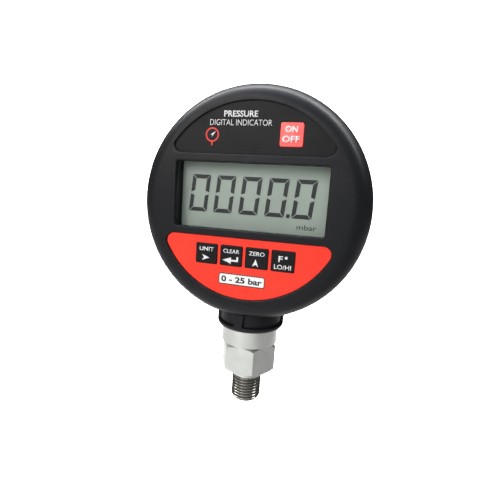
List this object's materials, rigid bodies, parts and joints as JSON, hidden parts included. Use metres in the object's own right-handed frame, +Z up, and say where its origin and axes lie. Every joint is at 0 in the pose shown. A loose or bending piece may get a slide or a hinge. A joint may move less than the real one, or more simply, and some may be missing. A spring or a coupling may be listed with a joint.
{
  "type": "digital pressure gauge",
  "caption": "Round digital pressure gauge in a black rubber boot, with a display, press keys and a hexagon adapter with a male parallel thread below.",
  "frame": {"origin": "on the axis of the process thread, at the open end of the spigot, which is the mouth of the pressure port", "axes": "+Z up along the stem, from the spigot to the dial; -Y is the front, where the display looks; +X to the right seen from the front"},
  "size_m": [0.0926, 0.038, 0.1343],
  "materials": {
    "boot_rubber": "matt moulded rubber",
    "case_plastic": "fine spark texture",
    "seal_rubber": "matt",
    "screw_steel": "zinc plated",
    "label_charcoal": "printed polyester film",
    "label_red": "printed polyester film",
    "plate_white": "printed film",
    "window_acrylic": "clear acrylic",
    "lcd_glass": "reflective grey-green liquid crystal glass",
    "diffuser": "milky",
    "contact_rubber": "layered silicone",
    "board": "solder mask",
    "chip_plastic": "moulded epoxy",
    "switch_plastic": "moulded",
    "key_red": "embossed film, satin",
    "key_black": "embossed film, satin",
    "plunger_plastic": "moulded",
    "stem_steel": "turned and zinc plated, satin",
    "capsule_steel": "turned stainless",
    "lead_plastic": "PVC sheath",
    "connector_plastic": "nylon",
    "cell_jacket": "plain printed jacket",
    "spring_steel": "nickel plated"
  },
  "bodies": {
    "gauge": {"boot": "boot_rubber", "front_cover": "case_plastic", "rear_housing": "case_plastic", "housing_gasket": "seal_rubber", "housing_screws": "screw_steel", "upper_label": "label_charcoal", "lower_label": "label_red", "range_plate": "plate_white", "window_lens": "window_acrylic", "window_gasket": "seal_rubber", "lcd_frame": "case_plastic", "lcd_glass": "lcd_glass", "backlight": "diffuser", "contact_strips": "contact_rubber", "main_board": "board", "board_screws": "screw_steel", "board_chips": "chip_plastic", "key_switches": "switch_plastic", "sensor_body": "stem_steel", "sensor_capsule": "capsule_steel", "sensor_seal": "seal_rubber", "adapter_seal": "seal_rubber", "hex_adapter": "stem_steel", "stem_seal": "seal_rubber", "clamp_nut": "screw_steel", "sensor_lead": "lead_plastic", "lead_connector": "connector_plastic", "battery_upper": "cell_jacket", "battery_lower": "cell_jacket", "battery_springs": "spring_steel", "battery_contacts": "spring_steel"},
    "power_button": {"power_key": "key_red", "power_plunger": "plunger_plastic"},
    "units_button": {"units_key": "key_black", "units_plunger": "plunger_plastic"},
    "clear_button": {"clear_key": "key_black", "clear_plunger": "plunger_plastic"},
    "zero_button": {"zero_key": "key_black", "zero_plunger": "plunger_plastic"},
    "function_button": {"function_key": "key_black", "function_plunger": "plunger_plastic"},
    "door": {"battery_door": "case_plastic", "door_gasket": "seal_rubber", "door_screws": "screw_steel"}
  },
  "joints": [
    {"name": "power_press", "type": "slide", "parent": "gauge", "child": "power_button", "axis": [0, 1, 0], "range_m": [0, 0.0005], "stiffness_N_per_m": 800, "springref_m": -0.0004},
    {"name": "units_press", "type": "slide", "parent": "gauge", "child": "units_button", "axis": [0, 1, 0], "range_m": [0, 0.0005], "stiffness_N_per_m": 800, "springref_m": -0.0004},
    {"name": "clear_press", "type": "slide", "parent": "gauge", "child": "clear_button", "axis": [0, 1, 0], "range_m": [0, 0.0005], "stiffness_N_per_m": 800, "springref_m": -0.0004},
    {"name": "zero_press", "type": "slide", "parent": "gauge", "child": "zero_button", "axis": [0, 1, 0], "range_m": [0, 0.0005], "stiffness_N_per_m": 800, "springref_m": -0.0004},
    {"name": "function_press", "type": "slide", "parent": "gauge", "child": "function_button", "axis": [0, 1, 0], "range_m": [0, 0.0005], "stiffness_N_per_m": 800, "springref_m": -0.0004},
    {"name": "door_lift", "type": "slide", "parent": "gauge", "child": "door", "axis": [0, 1, 0], "range_m": [0, 0.02]}
  ]
}
